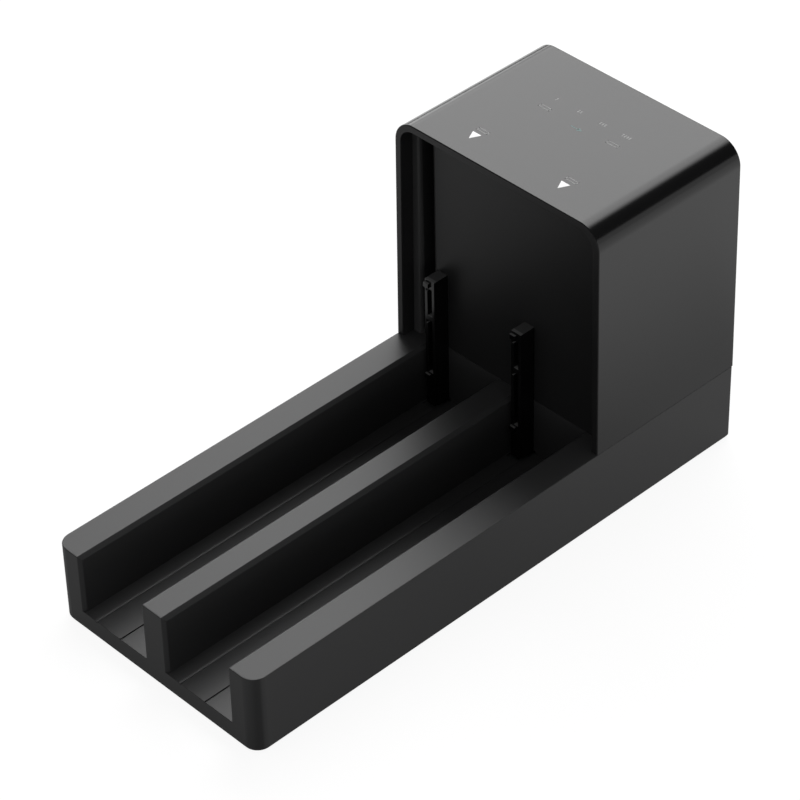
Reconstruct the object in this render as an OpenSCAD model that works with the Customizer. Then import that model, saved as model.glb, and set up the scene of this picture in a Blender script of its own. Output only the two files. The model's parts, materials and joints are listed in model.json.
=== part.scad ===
// Docking station for two hard drives that stand on their long edges.
// +X is to the right, +Y to the back, +Z up. The origin is under the middle of the feet.

/* [Overall] */
// Width of the dock
dock_w = 88; // [84:1:110]
// Length from the open front to the back
dock_l = 205; // [195:1:240]
// Height of the tower, from the underside of the base
dock_h = 112.5; // [111:0.5:130]
// Height of the base and its side walls
base_h = 28.5; // [27:0.5:36]
// Depth of the tower, with its hood
tower_l = 62.5; // [60:0.5:80]
// How far the rubber feet stand out below the base
foot_proud = 0.5; // [0.3:0.1:3]

/* [Base tray] */
// Thickness of the moulded walls of the tray
wall = 2.2; // [1.8:0.1:2.6]
// Radius of the two upright corners at the front
corner_r = 5; // [3:0.5:9]
// Radius of the two upright corners at the back
rear_r = 1; // [0.5:0.1:2]
// Height of the channel floor above the underside of the base
floor_h = 6.8; // [5.5:0.1:8]
// Thickness of the channel floor
floor_t = 2.2; // [1.6:0.1:2.6]
// Thickness of the middle wall between the channels
rib_w = 10.6; // [9:0.1:14]
// Chamfer along the top edges of the channels
top_cham = 1.2; // [0.5:0.1:1.8]
// Lead-in chamfer at the mouths of the channels
mouth_cham = 1.1; // [0.5:0.1:2]
// Standoffs that hold the main board over the floor
standoff_h = 2.5; // [2:0.1:4]

/* [Drive bays] */
// Thickness of the thickest drive
drive_t = 26.1; // [24:0.1:27]
// Side clearance of that drive in its channel
bay_clear = 1.3; // [0.6:0.1:2]
// Distance of the drive's connector above the edge it stands on
conn_h = 30.1; // [29:0.1:31]
// Distance of the drive's connector from the bay's left wall
conn_x = 3.6; // [3.2:0.1:4.4]
// Distance of the left groove in a channel's floor from the left wall
groove_l = 5.6; // [4:0.1:8]
// Distance of the right groove from the left wall
groove_x = 16.5; // [10:0.5:20]
// Width of those grooves
groove_w = 0.6; // [0.4:0.1:1.2]
// Depth of those grooves below the land that a drive stands on
groove_d = 0.4; // [0.2:0.1:0.8]
// Length of a plain lip at the mouth, ahead of the grooves
lip_l = 0; // [0:0.5:6]

/* [Bottom plate] */
// Thickness of the bottom plate
plate_t = 2.4; // [2:0.1:2.8]
// Thickness of the plate's rim that shows below the tray
rim_t = 0.6; // [0.4:0.1:1.2]
// How far that rim stands back from the side of the tray
rim_in = 0.3; // [0.2:0.1:1.4]
// Clearance of the plate inside the tray
plate_gap = 0.15; // [0.1:0.05:0.3]
// Radius of a rubber foot
foot_r = 5; // [4:0.5:8]
// Depth of the recess that a foot is glued in
foot_sink = 0.8; // [0.4:0.1:1.2]
// Distance of the feet from the sides
foot_in_x = 15; // [12:0.5:20]
// Distance of the feet from the front and back
foot_in_y = 14; // [10:0.5:30]

/* [Tower] */
// Thickness of the tower cover
cover_wall = 2.5; // [2:0.1:3]
// Outer radius along the top edges of the tower cover
cover_r = 8; // [6:0.5:12]
// How far each side of the tower leans in by the height of that radius
cover_draft = 1; // [0:0.1:1.5]
// Depth of the hood in front of the panel
hood_d = 6; // [4:0.5:9]
// Thickness of the front panel
panel_t = 1.6; // [1.2:0.1:2]
// Width of the panel's outer strip beside the hood wall
edge_strip = 3.7; // [2.4:0.1:4]
// How far that strip stands in front of the panel
edge_step = 1.1; // [0.1:0.1:1.5]
// Depth of the upright pocket between strip and panel at the left
pocket_d = 5.5; // [3:0.5:7]
// Distance of that pocket from the side of the bay
pocket_gap = 1; // [0.8:0.1:1.6]
// Radius of the panel's edge beside that pocket
pocket_edge = 2.2; // [0.5:0.1:2.6]
// Thickness of the rear panel
rear_t = 2.2; // [1.6:0.1:3]
// How far the rear panel lies in from the back of the cover
rear_sink = 0.4; // [0.1:0.1:1]
// Fitting clearance of the panels inside the cover
fit = 0.15; // [0.05:0.05:0.3]

/* [Drive sockets] */
// Width of a socket body
sock_w = 4.2; // [3.8:0.1:4.8]
// How far a socket stands out of the panel
sock_out = 5.8; // [4.5:0.1:6.5]
// Length of the connector face with its two guide ends
sock_l = 38.3; // [37:0.1:40]
// Height of the closed head above the connector face
sock_head = 1; // [0.5:0.1:2]
// Length of the signal slot
signal_l = 10.6; // [10.2:0.1:11]
// Length of the power slot
power_l = 20.8; // [20.4:0.1:21.2]
// Length of the bar between the two slots
key_bar = 2; // [1.6:0.1:2.4]
// Width of the slots
slot_w = 1.9; // [1.6:0.1:2.2]
// Depth of the slots
slot_d = 7; // [5:0.5:8]
// How far the short leg of each slot reaches sideways
leg_w = 0.7; // [0.4:0.1:0.8]
// Contact pitch
pitch = 1.27; // [1.2:0.01:1.3]
// Width of a contact
contact_w = 0.7; // [0.5:0.1:0.9]
// Thickness of a contact
contact_t = 0.3; // [0.2:0.05:0.4]

/* [Boards] */
// Thickness of the circuit boards
board_t = 1.6; // [1:0.1:2]
// Gap between the front panel and the backplane board
bp_gap = 4; // [3:0.5:6]
// How far the backplane board reaches above the sockets
bp_over = 5; // [3:0.5:12]
// Gap between the backplane board and the main board
mb_gap = 3; // [2:0.5:5]
// Side clearance between the main board and the cover posts
mb_side = 1; // [0.5:0.1:3]
// Distance of the LED board below the roof of the cover
led_drop = 10; // [8:0.5:14]
// Width of the LED board
led_board_w = 52; // [50:1:60]
// Depth of the LED board
led_board_d = 18; // [17:1:24]
// Number of contacts in the link between the boards
link_n = 14; // [8:1:16]

/* [Status lights] */
// Distance between the lights in a row
led_pitch = 9.7; // [8:0.1:11]
// Distance of the back row from the back of the dock
led_row1 = 21; // [19:0.5:26]
// Distance between the rows of lights
led_rows = 5.7; // [5:0.1:7]
// Radius of a light guide
guide_r = 1.6; // [1.2:0.1:2]
// Thickness of the cover's skin over a light
skin_t = 0.8; // [0.5:0.1:1.2]

/* [Rear connections] */
// Depth of the recess around the connections
port_recess = 2.4; // [2:0.1:3]
// Distance of that recess from the sides of the dock
recess_side = 8; // [6:0.5:9]
// Height of that recess
recess_h = 14; // [13:0.5:14.5]
// Distance of the power switch from the left end of the recess
switch_side = 9.5; // [9:0.5:12]
// Place of the USB socket across the back
usb_x = -5; // [-8:0.5:-2]
// Place of the power inlet across the back
inlet_x = 12; // [10:0.5:15]
// Distance of the clone button from the right end of the recess
button_side = 8; // [7:0.5:10]
// Outer width of the USB socket
usb_w = 12; // [11.5:0.1:12.5]
// Outer height of the USB socket
usb_h = 11; // [10.5:0.1:11.5]
// Thickness of the USB socket's sheet metal
usb_t = 0.4; // [0.3:0.05:0.6]
// Bore radius of the power inlet
inlet_r = 3.2; // [3:0.1:3.4]
// Radius of the power inlet's pin
inlet_pin_r = 1.05; // [0.9:0.05:1.3]
// Radius of the clone button
button_r = 3.5; // [3:0.1:3.8]
// How far the clone button stands out of the recess floor
button_out = 1.4; // [1:0.1:1.8]
// Travel of the clone button
button_travel = 0.6; // [0.3:0.1:0.9]
// Width of the rocker
rocker_w = 10.6; // [9:0.1:11.4]
// Height of the rocker
rocker_h = 6.2; // [5:0.1:6.6]
// Half of the rocker's swing, in degrees
rocker_tilt = 8; // [5:0.5:9]

/* [Fasteners] */
// Radius of the screw shafts
screw_r = 1.25; // [1:0.05:1.4]
// Radius of the screw heads
head_r = 2.5; // [2.2:0.1:2.7]
// Height of the screw heads
head_h = 1.2; // [0.9:0.1:1.4]
// Radius of the bosses for the bottom plate screws
boss_r = 3.4; // [3:0.1:3.8]
// Radius of the posts that carry the cover screws
post_r = 4; // [3.6:0.1:4.2]

/* [Hidden] */
$fn = 48;
// Overlap of a cut past the face that it opens
cut = 1;
// Slack around a screw in its pilot hole
pilot_gap = 0.05;
// Slack around a screw in a through hole, and around its head
screw_gap = 0.3;

// Levels
z_body = foot_proud;
z_plate = z_body + plate_t;
z_floor = z_body + floor_h;
z_under = z_floor - floor_t;
z_split = z_body + base_h;
z_top = z_body + dock_h;
z_roof = z_top - cover_wall;
z_board = z_floor + standoff_h;
z_parts = z_board + board_t;
z_conn = z_floor + conn_h;
z_port = z_parts + usb_h / 2;

// Stations along the dock
y_front = -dock_l / 2;
y_rear = dock_l / 2;
y_hood = y_rear - tower_l;
y_panel = y_hood + hood_d;
y_room = y_panel + wall;
y_bp = y_panel + panel_t + bp_gap;
y_board = y_bp + board_t + mb_gap;
y_recess = y_rear - port_recess;
y_wall = y_recess - wall;
y_board_end = y_wall - screw_gap;
y_rear_in = y_rear - rear_sink - rear_t;

// Places across the dock
half_w = dock_w / 2;
in_w = half_w - wall;
cover_in = half_w - cover_wall;
bay_w = drive_t + bay_clear;
bay_in = rib_w / 2;
bay_out = bay_in + bay_w;
bay_left = [-bay_out, bay_in];
sock_x = [bay_left[0] + conn_x, bay_left[1] + conn_x];
pocket_in = bay_out + pocket_gap;
pocket_out = cover_in - edge_strip;
board_half = in_w - 2 * post_r - mb_side;
bp_half = pocket_in - panel_t - 0.5;
recess_half = half_w - recess_side;
switch_x = switch_side - recess_half;
button_x = recess_half - button_side;

// Cover posts, and the bosses for the bottom plate between and ahead of them
post_x = in_w - post_r;
post_y = [y_panel + 14, y_rear - 18.5];
boss_x = in_w - boss_r;
boss_last = (post_y[0] + post_y[1]) / 2;
boss_first = y_front + 12.5;
boss_y = [boss_first, (boss_first + boss_last) / 2, boss_last];
boss_h = 13;
boss_depth = 9;
// Height of the post above a cover screw's head, and the screw's hold in the cover
post_grip = 9;
cover_hold = 9;
// Rear panel screws
rear_x = cover_in - 5;
rear_z = [z_split + 6, z_roof - 7.5];
rear_boss_r = 3;
rear_hold = 9;
// Main board screws
stand_r = 2.8;
stand_x = board_half - 3.5;
stand_y = [y_board + 4, y_board + 24];
// Parts on the main board, counted from its sides and its front edge
chip_w = 10;
chip_h = 1.4;
chip_y = y_board + 8;
flash_size = [5, 4, 1.5];
flash_at = [10.5, y_board + 22.5];
can_r = 2.2;
can_l = 6.5;
can_h = 3.4;
can_gap = 2.1;
coil_w = 7.6;
coil_base = 1;
coil_r = 3.6;
coil_h = 4;
coil_x = board_half - 14.8;
coil_y = [y_board + 9, y_board + 18];
cap_r = 3.15;
cap_h = 7;
cap_left = 9.8 - board_half;
cap_right = board_half - 6.8;
cap_at = [[cap_left, y_board + 8], [cap_left, y_board + 23], [cap_right, y_board + 12],
    [cap_right, y_board + 19]];
reg_size = [6.4, 3.6, 1.7];
reg_x = [-7.2, 2.8];
reg_y = y_board + 20;
// Backplane screws
bp_boss_x = 21;
bp_boss_r = 2.6;
bp_boss_z = [z_split + 5, z_conn + sock_l / 2 + 1];
small_len = 5;
// Sockets
y_sock = y_panel - sock_out;
z_sock_top = z_conn + sock_l / 2 + sock_head;
z_sock_low = z_floor + 0.4;
guide_out = 0.8;
signal_n = 7;
power_n = 15;
z_signal = z_conn + sock_l / 2 - 2.4;
z_power = z_signal - signal_l - key_bar;
foot_cut = 0.8;
// Status lights, counted from the left of the back row
led_x0 = -14;
led_y = [y_rear - led_row1, y_rear - led_row1 - led_rows];
led_at = concat([for (i = [0:3]) [led_x0 + i * led_pitch, led_y[0]]],
    [for (i = [0, 3]) [led_x0 + i * led_pitch, led_y[1]]],
    [[led_x0 + 1.55 * led_pitch, led_y[1] - 1.9]]);
z_led = z_roof - led_drop;
led_t = 1.4;
led_board_y = (led_y[0] + led_y[1]) / 2;
led_boss_x = 22.5;
z_guide = z_roof - 4;
guide_t = 1.2;
guide_gap = 0.1;
// Ribbon between the LED board and the main board
ribbon_x = -18;
ribbon_w = 8;
ribbon_t = 0.3;
ribbon_y = [y_board + 16.5, led_board_y - led_board_d / 2 + 3];
ribbon_bow = 4;
plug_h = 2.5;
// Power switch
switch_w = rocker_w + 2.4;
switch_h = rocker_h + 2.4;
switch_d = 11;
bezel_rim = 1;
bezel_t = 0.8;
y_bezel = y_recess + bezel_t;
y_pivot = y_bezel - 1.8;
trunnion_r = 0.9;
rocker_side = 0.15;
// Power inlet and clone switch
inlet_w = 9;
inlet_d = 13;
nose_r = inlet_r + 0.8;
bore_d = 9.5;
usb_d = 16;
flange_r = button_r + 0.8;
flange_t = 1;
tact_w = 6;
tact_d = 4;
plunger_r = 1.7;
y_stem = y_wall - 2.6;
y_tact = y_stem - 1.7;

// Upright outline of the tray, drawn in by inset
module tray_plan(inset) {
    w = half_w - inset;
    f = y_front + inset;
    b = y_rear - inset;
    rf = max(corner_r - inset, 0.5);
    rb = max(rear_r - inset, 0.2);
    translate([-w, f + rf]) square([2 * w, b - rb - f - rf]);
    translate([rf - w, f]) square([2 * (w - rf), rf + 0.1]);
    translate([rb - w, b - rb - 0.1]) square([2 * (w - rb), rb + 0.1]);
    for (s = [-1, 1]) {
        translate([s * (w - rf), f + rf]) circle(rf);
        translate([s * (w - rb), b - rb]) circle(rb);
    }
}

// How far the tower's sides have leaned in at height z
function lean(z) = cover_draft * (z - z_split) / (z_top - cover_r - z_split);

// Arch of the tower, drawn in X and Z, w wide to each side at the split line
module arch(w, z0, z1, r) {
    low = w - lean(z0);
    high = w - lean(z1 - r);
    polygon([[-low, z0], [low, z0], [high, z1 - r], [-high, z1 - r]]);
    translate([r - high, z0]) square([2 * (high - r), z1 - z0]);
    for (s = [-1, 1]) translate([s * (high - r), z1 - r]) circle(r);
}

// Extrudes an outline drawn in X and Z from y0 to y1
module along_y(y0, y1) {
    translate([0, y1, 0]) rotate([90, 0, 0]) linear_extrude(y1 - y0) children();
}

// Round bar along Y from y0 to y1
module bar_y(x, z, y0, y1, r) {
    translate([x, y0, z]) rotate([-90, 0, 0]) cylinder(r = r, h = y1 - y0);
}

// Block from one corner to the other
module block(a, b) {
    translate(a) cube(b - a);
}

// Screw that points up, with the underside of its head at the origin
module screw(len, r = screw_r) {
    color("silver") difference() {
        union() {
            cylinder(r = r, h = len);
            translate([0, 0, -head_h]) cylinder(r = head_r, h = head_h);
        }
        for (a = [0, 90]) rotate([0, 0, a])
            block([-head_r * 0.62, -0.3, -head_h - cut], [head_r * 0.62, 0.3, -head_h * 0.4]);
    }
}

// Outline of one bay in X and Z, with chamfered top edges
module bay_shape(x0) {
    x1 = x0 + bay_w;
    polygon([[x0, z_floor], [x1, z_floor], [x1, z_split - top_cham], [x1 + top_cham, z_split],
        [x1 + top_cham, z_split + cut], [x0 - top_cham, z_split + cut], [x0 - top_cham, z_split],
        [x0, z_split - top_cham]]);
}

// One bay, cut from the tray
module bay(x0) {
    x1 = x0 + bay_w;
    m = mouth_cham;
    along_y(y_front - cut, y_panel) bay_shape(x0);
    translate([0, 0, z_floor]) linear_extrude(base_h)
        polygon([[x0 - m, y_front - cut], [x0 - m, y_front], [x0, y_front + m], [x1, y_front + m],
            [x1 + m, y_front], [x1 + m, y_front - cut]]);
    y_start = lip_l > 0 ? y_front + lip_l : y_front - cut;
    for (x = [x0 + groove_l, x0 + groove_x])
        block([x - groove_w / 2, y_start, z_floor - groove_d], [x + groove_w / 2, y_panel, z_floor + cut]);
}

// Slot for a socket through the tray's end wall or the front panel
module sock_slot(x, z0, z1) {
    block([x - sock_w / 2 - fit, y_panel - cut, z0], [x + sock_w / 2 + fit, y_bp, z1]);
}

// Outline of the USB socket in X and Z, from the middle of its foot, grown by g
function usb_points(g) = [[-usb_w / 2 - g, -g], [usb_w / 2 + g, -g], [usb_w / 2 + g, usb_h * 0.68 + g],
    [usb_w * 0.35 + g, usb_h * 0.82 + g], [usb_w * 0.35 + g, usb_h + g],
    [-usb_w * 0.35 - g, usb_h + g], [-usb_w * 0.35 - g, usb_h * 0.82 + g],
    [-usb_w / 2 - g, usb_h * 0.68 + g]];

// Holes for the rear connections, through the floor of their recess
module port_holes() {
    along_y(y_wall - cut, y_rear) translate([usb_x, z_parts]) polygon(usb_points(screw_gap));
    bar_y(inlet_x, z_port, y_wall - cut, y_rear, nose_r + fit);
    bar_y(button_x, z_port, y_wall - cut, y_rear, button_r + 0.1);
    block([switch_x - switch_w / 2 - fit, y_wall - cut, z_port - switch_h / 2 - fit],
        [switch_x + switch_w / 2 + fit, y_rear, z_port + switch_h / 2 + fit]);
}

// Bosses, posts and standoffs of the tray
module tray_bosses() {
    for (s = [-1, 1]) {
        for (y = boss_y) {
            translate([s * boss_x, y, z_plate]) cylinder(r = boss_r, h = boss_h);
            block([min(s * boss_x, s * (in_w + 0.5)), y - 1.5, z_plate],
                [max(s * boss_x, s * (in_w + 0.5)), y + 1.5, z_plate + boss_h]);
        }
        for (y = post_y) {
            translate([s * post_x, y, z_under]) cylinder(r = post_r, h = z_split - z_under);
            block([min(s * post_x, s * (in_w + 0.5)), y - 1.5, z_under],
                [max(s * post_x, s * (in_w + 0.5)), y + 1.5, z_split]);
        }
        for (y = stand_y)
            translate([s * stand_x, y, z_under]) cylinder(r = stand_r, h = z_board - z_under);
    }
}

// Screw holes of the tray
module tray_holes() {
    for (s = [-1, 1]) {
        for (y = boss_y) translate([s * boss_x, y, z_body])
            cylinder(r = screw_r + pilot_gap, h = plate_t + boss_depth);
        for (y = post_y) translate([s * post_x, y, z_body]) {
            cylinder(r = screw_r + screw_gap, h = base_h + cut);
            cylinder(r = head_r + screw_gap, h = base_h - post_grip);
        }
        for (y = stand_y) translate([s * stand_x, y, z_under + 0.8])
            cylinder(r = screw_r + pilot_gap, h = standoff_h + floor_t);
    }
}

module base_tray() {
    hollow_top = z_split - wall;
    color("#1b1b1d") difference() {
        union() {
            difference() {
                translate([0, 0, z_body + rim_t]) linear_extrude(base_h - rim_t) tray_plan(0);
                translate([0, 0, z_body]) linear_extrude(z_under - z_body) tray_plan(wall);
                block([-in_w, y_room, z_floor], [in_w, y_rear - wall, z_split + cut]);
                for (s = [-1, 1]) intersection() {
                    translate([0, 0, z_body]) linear_extrude(hollow_top - z_body) tray_plan(wall);
                    block([min(s * in_w, s * (bay_out + wall)), y_front, z_body],
                        [max(s * in_w, s * (bay_out + wall)), y_panel, hollow_top]);
                }
                block([wall - bay_in, y_front + wall, z_body], [bay_in - wall, y_panel, hollow_top]);
            }
            tray_bosses();
            block([-recess_half - wall, y_wall, z_under], [recess_half + wall, y_rear - 0.5,
                z_port + recess_h / 2 + wall]);
        }
        for (x0 = bay_left) bay(x0);
        for (x = sock_x) {
            sock_slot(x, z_floor - foot_cut, z_split + cut);
            block([x - sock_w / 2 - 1, y_sock - 1, z_floor - foot_cut],
                [x + sock_w / 2 + 1, y_panel + cut, z_floor + cut]);
        }
        block([-recess_half, y_recess, z_port - recess_h / 2],
            [recess_half, y_rear + cut, z_port + recess_h / 2]);
        port_holes();
        tray_holes();
    }
}

module bottom_plate() {
    color("#202022") difference() {
        union() {
            translate([0, 0, z_body]) linear_extrude(rim_t) tray_plan(rim_in);
            translate([0, 0, z_body]) linear_extrude(plate_t) tray_plan(wall + plate_gap);
        }
        for (s = [-1, 1]) for (y = boss_y) translate([s * boss_x, y, z_body - cut]) {
            cylinder(r = screw_r + screw_gap, h = plate_t + 2 * cut);
            cylinder(r = head_r + screw_gap, h = head_h + 0.1 + cut);
        }
        for (sx = [-1, 1]) for (sy = [-1, 1])
            translate([sx * (half_w - foot_in_x), sy * (dock_l / 2 - foot_in_y), z_body - cut])
                cylinder(r = foot_r + fit, h = foot_sink + cut);
    }
}

module rubber_feet() {
    color("#2a2a2a") for (sx = [-1, 1]) for (sy = [-1, 1])
        translate([sx * (half_w - foot_in_x), sy * (dock_l / 2 - foot_in_y), 0]) {
            cylinder(r1 = foot_r - 0.4, r2 = foot_r, h = 0.4);
            translate([0, 0, 0.4]) cylinder(r = foot_r, h = foot_proud + foot_sink - 0.4);
        }
}

module plate_screws() {
    for (s = [-1, 1]) for (y = boss_y)
        translate([s * boss_x, y, z_body + head_h + 0.1]) screw(boss_depth);
}

module tower_cover() {
    r_in = cover_r - cover_wall;
    rib_x = pocket_out + panel_t + screw_gap;
    rib_y = y_panel - edge_step + panel_t + fit;
    color("#39393b") difference() {
        union() {
            difference() {
                along_y(y_hood, y_rear) arch(half_w, z_split, z_top, cover_r);
                along_y(y_hood - cut, y_rear + cut) arch(cover_in, z_split - cut, z_roof, r_in);
            }
            for (s = [-1, 1]) {
                block([min(s * rib_x, s * (cover_in + 0.5)), rib_y, z_split + 4],
                    [max(s * rib_x, s * (cover_in + 0.5)), rib_y + 1.6, z_roof - r_in - 2]);
                for (y = post_y) {
                    translate([s * post_x, y, z_split]) cylinder(r = post_r, h = cover_hold + 2);
                    block([min(s * post_x, s * (cover_in + 0.5)), y - 1.5, z_split],
                        [max(s * post_x, s * (cover_in + 0.5)), y + 1.5, z_split + cover_hold + 2]);
                }
                for (z = rear_z) {
                    bar_y(s * rear_x, z, y_rear_in - rear_hold - 1, y_rear_in, rear_boss_r);
                    block([min(s * rear_x, s * (cover_in + 0.5)), y_rear_in - rear_hold - 1, z - 1.2],
                        [max(s * rear_x, s * (cover_in + 0.5)), y_rear_in, z + 1.2]);
                }
                translate([s * led_boss_x, led_board_y, z_guide])
                    cylinder(r = 3.2, h = z_roof - z_guide + 0.5);
                translate([s * led_boss_x, led_board_y, z_led]) cylinder(r = 2.2, h = z_roof - z_led);
            }
        }
        for (p = led_at) translate([p[0], p[1], z_roof - cut])
            cylinder(r = guide_r + fit, h = cover_wall - skin_t + cut);
        for (s = [-1, 1]) {
            for (y = post_y) translate([s * post_x, y, z_split - cut])
                cylinder(r = screw_r + pilot_gap, h = cover_hold + cut);
            for (z = rear_z)
                bar_y(s * rear_x, z, y_rear_in - rear_hold, y_rear_in + cut, screw_r + pilot_gap);
            translate([s * led_boss_x, led_board_y, z_led - cut])
                cylinder(r = screw_r + pilot_gap, h = small_len + cut);
        }
    }
}

module cover_screws() {
    for (s = [-1, 1]) for (y = post_y)
        translate([s * post_x, y, z_split - post_grip]) screw(post_grip + cover_hold - 1);
}

// Outline of the front panel from above, with the upright pocket at its left
module panel_plan() {
    x_end = cover_in - fit;
    y_edge = y_panel - edge_step;
    y_deep = y_panel + pocket_d;
    t = panel_t;
    right = [[pocket_out, y_panel], [pocket_out, y_edge], [x_end, y_edge], [x_end, y_edge + t],
        [pocket_out + t, y_edge + t], [pocket_out + t, y_panel + t]];
    left = [[-pocket_in + t, y_panel + t], [-pocket_in + t, y_deep + t], [-pocket_out - t, y_deep + t],
        [-pocket_out - t, y_edge + t], [-x_end, y_edge + t], [-x_end, y_edge], [-pocket_out, y_edge],
        [-pocket_out, y_deep], [-pocket_in, y_deep], [-pocket_in, y_panel]];
    difference() {
        polygon(concat(right, left));
        difference() {
            translate([-pocket_in - cut, y_panel - cut]) square(pocket_edge + cut);
            translate([-pocket_in + pocket_edge, y_panel + pocket_edge]) circle(pocket_edge);
        }
    }
}

module front_panel() {
    top = z_roof - fit;
    color("#131314") intersection() {
        difference() {
            union() {
                translate([0, 0, z_split]) linear_extrude(top - z_split) panel_plan();
                block([-pocket_out - panel_t, y_panel, z_split],
                    [panel_t - pocket_in, y_panel + pocket_d + panel_t, z_split + panel_t]);
                for (x = [-bp_boss_x, bp_boss_x]) for (z = bp_boss_z)
                    bar_y(x, z, y_panel + panel_t / 2, y_bp, bp_boss_r);
            }
            for (x = sock_x) sock_slot(x, z_split - cut, z_sock_top + fit);
            for (x = [-bp_boss_x, bp_boss_x]) for (z = bp_boss_z)
                bar_y(x, z, y_panel + panel_t, y_bp + cut, screw_r + pilot_gap);
        }
        along_y(y_hood, y_rear) arch(cover_in - fit, z_split, top, cover_r - cover_wall - fit);
    }
}

module rear_panel() {
    top = z_roof - fit;
    y_out = y_rear - rear_sink;
    color("#232325") difference() {
        along_y(y_rear_in, y_out) arch(cover_in - fit, z_split, top, cover_r - cover_wall - fit);
        for (s = [-1, 1]) for (z = rear_z) {
            bar_y(s * rear_x, z, y_rear_in - cut, y_out + cut, screw_r + screw_gap);
            bar_y(s * rear_x, z, y_out - head_h - 0.1, y_out + cut, head_r + screw_gap);
        }
    }
}

module rear_screws() {
    for (s = [-1, 1]) for (z = rear_z)
        translate([s * rear_x, y_rear - rear_sink - head_h - 0.1, z]) rotate([90, 0, 0])
            screw(rear_t - head_h - 0.1 + rear_hold - 1);
}

// Contacts of one segment, from the top down, with their tails in the board
module contacts(x, z_first, n) {
    for (i = [0:n - 1])
        block([x + slot_w / 2, y_sock + 1.2, z_first - i * pitch - contact_w / 2],
            [x + slot_w / 2 + contact_t, y_bp, z_first - i * pitch + contact_w / 2]);
}

// Contacts of one socket, lying in the right-hand walls of its slots
module contact_set(x) {
    contacts(x, z_signal - (signal_l - (signal_n - 1) * pitch) / 2, signal_n);
    contacts(x, z_power - (power_l - (power_n - 1) * pitch) / 2, power_n);
}

module socket(x) {
    w = sock_w / 2;
    h = sock_l / 2;
    color("#0c0c0d") difference() {
        union() {
            block([x - w, y_sock, z_sock_low], [x + w, y_bp, z_sock_top]);
            for (s = [-1, 1])
                block([x - w, y_sock - guide_out, z_conn + s * (h - 0.9) - 0.9],
                    [x - w + 2.2, y_sock + 1, z_conn + s * (h - 0.9) + 0.9]);
        }
        for (seg = [[z_signal, signal_l], [z_power, power_l]]) {
            block([x - slot_w / 2, y_sock - cut, seg[0] - seg[1]], [x + slot_w / 2, y_sock + slot_d, seg[0]]);
            block([x - slot_w / 2 - leg_w, y_sock - cut, seg[0] - 1.2], [x, y_sock + slot_d, seg[0]]);
        }
        block([x + w - 0.5, y_sock - cut, z_sock_low - cut], [x + w + cut, y_sock + 1.2, z_conn - h - 1.5]);
        contact_set(x);
    }
}

module source_socket() { socket(sock_x[0]); }

module target_socket() { socket(sock_x[1]); }

module source_contacts() { color("gold") contact_set(sock_x[0]); }

module target_contacts() { color("gold") contact_set(sock_x[1]); }

// Places of the pins in the link between the boards
link_at = [for (i = [0:link_n - 1]) (i - (link_n - 1) / 2) * 2 * pitch];
link_y = y_board + 2.2;
z_link = z_parts + 2.6;
link_pin = 0.64;

module backplane_board() {
    color("#15402a") difference() {
        block([-bp_half, y_bp, z_floor + 2], [bp_half, y_bp + board_t, z_sock_top + bp_over]);
        for (x = [-bp_boss_x, bp_boss_x]) for (z = bp_boss_z)
            bar_y(x, z, y_bp - cut, y_bp + board_t + cut, screw_r + screw_gap);
        for (x = link_at) block([x - link_pin / 2, y_bp - cut, z_link - link_pin / 2],
            [x + link_pin / 2, y_bp + board_t + cut, z_link + link_pin / 2]);
    }
}

module backplane_screws() {
    for (x = [-bp_boss_x, bp_boss_x]) for (z = bp_boss_z)
        translate([x, y_bp + board_t, z]) rotate([90, 0, 0]) screw(small_len - 0.5);
}

module main_board() {
    color("#15402a") difference() {
        block([-board_half, y_board, z_board], [board_half, y_board_end, z_parts]);
        for (s = [-1, 1]) for (y = stand_y) translate([s * stand_x, y, z_board - cut])
            cylinder(r = screw_r + screw_gap, h = board_t + 2 * cut);
        for (x = link_at) block([x - link_pin / 2, link_y - link_pin / 2, z_board - cut],
            [x + link_pin / 2, link_y + link_pin / 2, z_parts + cut]);
    }
}

module board_screws() {
    for (s = [-1, 1]) for (y = stand_y)
        translate([s * stand_x, y, z_parts]) rotate([180, 0, 0]) screw(board_t + standoff_h + 0.4);
}

module link_header() {
    half = link_n * pitch + 0.2;
    color("#101010") difference() {
        block([-half, link_y - 1.3, z_parts], [half, link_y + 1.3, z_link + 1.3]);
        link_pins();
    }
}

module link_pins() {
    h = link_pin / 2;
    color("gold") for (x = link_at) {
        block([x - h, y_bp, z_link - h], [x + h, link_y + h, z_link + h]);
        block([x - h, link_y - h, z_board - 0.8], [x + h, link_y + h, z_link]);
    }
}

module bridge_chip() {
    color("#1a1a1a") translate([-chip_w / 2, chip_y, z_parts]) cube([chip_w, chip_w, chip_h]);
}

module flash_chip() {
    color("#1a1a1a") translate([flash_at[0], flash_at[1], z_parts]) cube(flash_size);
}

module crystal() {
    color("silver") translate([-chip_w / 2 - can_gap - can_r, chip_y - 1, z_parts]) {
        for (y = [0, can_l]) translate([0, y, 0]) cylinder(r = can_r, h = can_h);
        translate([-can_r, 0, 0]) cube([2 * can_r, can_l, can_h]);
    }
}

module power_inductors() {
    color("#3c3c3e") for (y = coil_y) translate([coil_x, y, z_parts]) {
        translate([-coil_w / 2, -coil_w / 2, 0]) cube([coil_w, coil_w, coil_base]);
        cylinder(r = coil_r, h = coil_h);
    }
}

module capacitors() {
    color("#8f9296") for (p = cap_at) translate([p[0], p[1], z_parts]) cylinder(r = cap_r, h = cap_h);
}

module regulators() {
    color("#1a1a1a") for (x = reg_x) translate([x, reg_y, z_parts]) cube(reg_size);
}

module usb_shell() {
    color("silver") difference() {
        along_y(y_recess + 0.6 - usb_d, y_recess + 0.6)
            translate([usb_x, z_parts]) polygon(usb_points(0));
        along_y(y_recess + 0.6 - usb_d + usb_t, y_recess + 0.6 + cut)
            translate([usb_x, z_parts]) polygon(usb_points(-usb_t));
    }
}

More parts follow.
